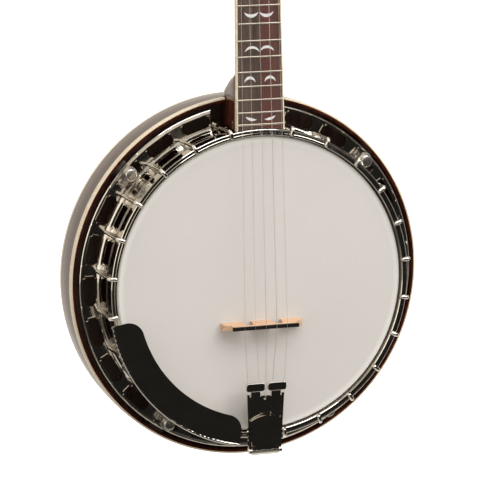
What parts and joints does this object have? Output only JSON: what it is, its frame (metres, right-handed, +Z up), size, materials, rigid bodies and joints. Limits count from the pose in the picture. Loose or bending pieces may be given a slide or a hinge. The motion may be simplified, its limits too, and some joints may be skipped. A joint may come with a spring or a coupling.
{
  "type": "resonator banjo",
  "caption": "Banjo with a drum-like pot and wooden resonator, pierced metal flange, fretted neck, hinged tailpiece cover, armrest and geared tuners.",
  "frame": {"origin": "centre of the resonator's flat back, on the axis of the pot", "axes": "+Z up the neck to the headstock, +Y out of the back, -Y out of the playing face, +X towards the treble side"},
  "size_m": [0.3448, 0.1238, 0.9699],
  "materials": {
    "binding": "buffed",
    "black_plastic": "gloss",
    "bone": "polished bone",
    "bridge_maple": "bare",
    "ebony": "oiled",
    "film": "frosted",
    "mahogany": "gloss lacquer",
    "maple_rim": "satin lacquer",
    "neck_wood": "gloss lacquer",
    "nickel": "polished",
    "pearl": "pearl",
    "pearloid": "pearloid",
    "rosewood": "oiled",
    "steel": "drawn wire"
  },
  "bodies": {
    "banjo": {"armrest_brackets": "nickel", "armrest_plate": "nickel", "bracket_hooks": "nickel", "bracket_nuts": "nickel", "bridge_feet": "bridge_maple", "bridge_saddle": "ebony", "coordinator_fasteners": "steel", "coordinator_rods": "steel", "drum_head": "film", "fifth_string_nut": "bone", "flange": "nickel", "flesh_hoop": "steel", "fretboard": "rosewood", "fretboard_binding": "binding", "frets": "nickel", "head_collar": "film", "headstock_veneer": "black_plastic", "heel_cap": "binding", "inlays": "pearl", "lug_screws": "steel", "neck": "neck_wood", "resonator_back": "mahogany", "resonator_back_binding": "binding", "resonator_front_binding": "binding", "resonator_lugs": "steel", "resonator_wall": "mahogany", "rim": "maple_rim", "string_nut": "bone", "strings": "steel", "tailpiece_frame": "nickel", "tailpiece_hanger": "nickel", "tailpiece_pin": "steel", "tension_hoop": "nickel", "thumbscrew_brackets": "nickel", "tone_ring": "nickel", "truss_rod": "steel", "truss_rod_cover": "black_plastic", "tuner_bushings": "nickel", "tuner_housings": "nickel"},
    "tail_cover": {"tailpiece_cover": "nickel"},
    "thumbscrew_1_body": {"thumbscrew_1": "nickel"},
    "thumbscrew_2_body": {"thumbscrew_2": "nickel"},
    "thumbscrew_3_body": {"thumbscrew_3": "nickel"},
    "thumbscrew_4_body": {"thumbscrew_4": "nickel"},
    "button_1": {"tuner_button_1": "pearloid"},
    "post_1": {"tuner_post_1": "nickel"},
    "button_2": {"tuner_button_2": "pearloid"},
    "post_2": {"tuner_post_2": "nickel"},
    "button_3": {"tuner_button_3": "pearloid"},
    "post_3": {"tuner_post_3": "nickel"},
    "button_4": {"tuner_button_4": "pearloid"},
    "post_4": {"tuner_post_4": "nickel"},
    "fifth_peg_body": {"fifth_peg": "nickel"}
  },
  "joints": [
    {"name": "tailpiece_cover_hinge", "type": "hinge", "parent": "banjo", "child": "tail_cover", "pos_m": [0, -0.10075, -0.15684], "axis": [1, 0, 0], "range_deg": [0, 100]},
    {"name": "thumbscrew_1_turn", "type": "hinge", "parent": "banjo", "child": "thumbscrew_1_body", "pos_m": [-0.11682, -0.05, 0.10519], "axis": [0, 1, 0], "continuous": true},
    {"name": "thumbscrew_2_turn", "type": "hinge", "parent": "banjo", "child": "thumbscrew_2_body", "pos_m": [0.11682, -0.05, 0.10519], "axis": [0, 1, 0], "continuous": true},
    {"name": "thumbscrew_3_turn", "type": "hinge", "parent": "banjo", "child": "thumbscrew_3_body", "pos_m": [0.08049, -0.05, -0.13503], "axis": [0, 1, 0], "continuous": true},
    {"name": "thumbscrew_4_turn", "type": "hinge", "parent": "banjo", "child": "thumbscrew_4_body", "pos_m": [-0.08049, -0.05, -0.13503], "axis": [0, 1, 0], "continuous": true},
    {"name": "tuner_button_1_turn", "type": "hinge", "parent": "banjo", "child": "button_1", "pos_m": [-0.0205, -0.03613, 0.67628], "axis": [0, 0.9703, -0.2419], "continuous": true},
    {"name": "tuner_post_1_turn", "type": "hinge", "parent": "banjo", "child": "post_1", "pos_m": [-0.0205, -0.03613, 0.67628], "axis": [0, 0.9703, -0.2419], "continuous": true},
    {"name": "tuner_button_2_turn", "type": "hinge", "parent": "banjo", "child": "button_2", "pos_m": [0.0205, -0.03613, 0.67628], "axis": [0, 0.9703, -0.2419], "continuous": true},
    {"name": "tuner_post_2_turn", "type": "hinge", "parent": "banjo", "child": "post_2", "pos_m": [0.0205, -0.03613, 0.67628], "axis": [0, 0.9703, -0.2419], "continuous": true},
    {"name": "tuner_button_3_turn", "type": "hinge", "parent": "banjo", "child": "button_3", "pos_m": [-0.0195, -0.02016, 0.74032], "axis": [0, 0.9703, -0.2419], "continuous": true},
    {"name": "tuner_post_3_turn", "type": "hinge", "parent": "banjo", "child": "post_3", "pos_m": [-0.0195, -0.02016, 0.74032], "axis": [0, 0.9703, -0.2419], "continuous": true},
    {"name": "tuner_button_4_turn", "type": "hinge", "parent": "banjo", "child": "button_4", "pos_m": [0.0195, -0.02016, 0.74032], "axis": [0, 0.9703, -0.2419], "continuous": true},
    {"name": "tuner_post_4_turn", "type": "hinge", "parent": "banjo", "child": "post_4", "pos_m": [0.0195, -0.02016, 0.74032], "axis": [0, 0.9703, -0.2419], "continuous": true},
    {"name": "fifth_peg_turn", "type": "hinge", "parent": "banjo", "child": "fifth_peg_body", "pos_m": [-0.016, -0.06155, 0.48925], "axis": [1, 0, 0], "continuous": true}
  ],
  "couplings": [
    {"joint": "tuner_post_1_turn", "follows": "tuner_button_1_turn", "ratio": 0.25},
    {"joint": "tuner_post_2_turn", "follows": "tuner_button_2_turn", "ratio": 0.25},
    {"joint": "tuner_post_3_turn", "follows": "tuner_button_3_turn", "ratio": 0.25},
    {"joint": "tuner_post_4_turn", "follows": "tuner_button_4_turn", "ratio": 0.25}
  ]
}
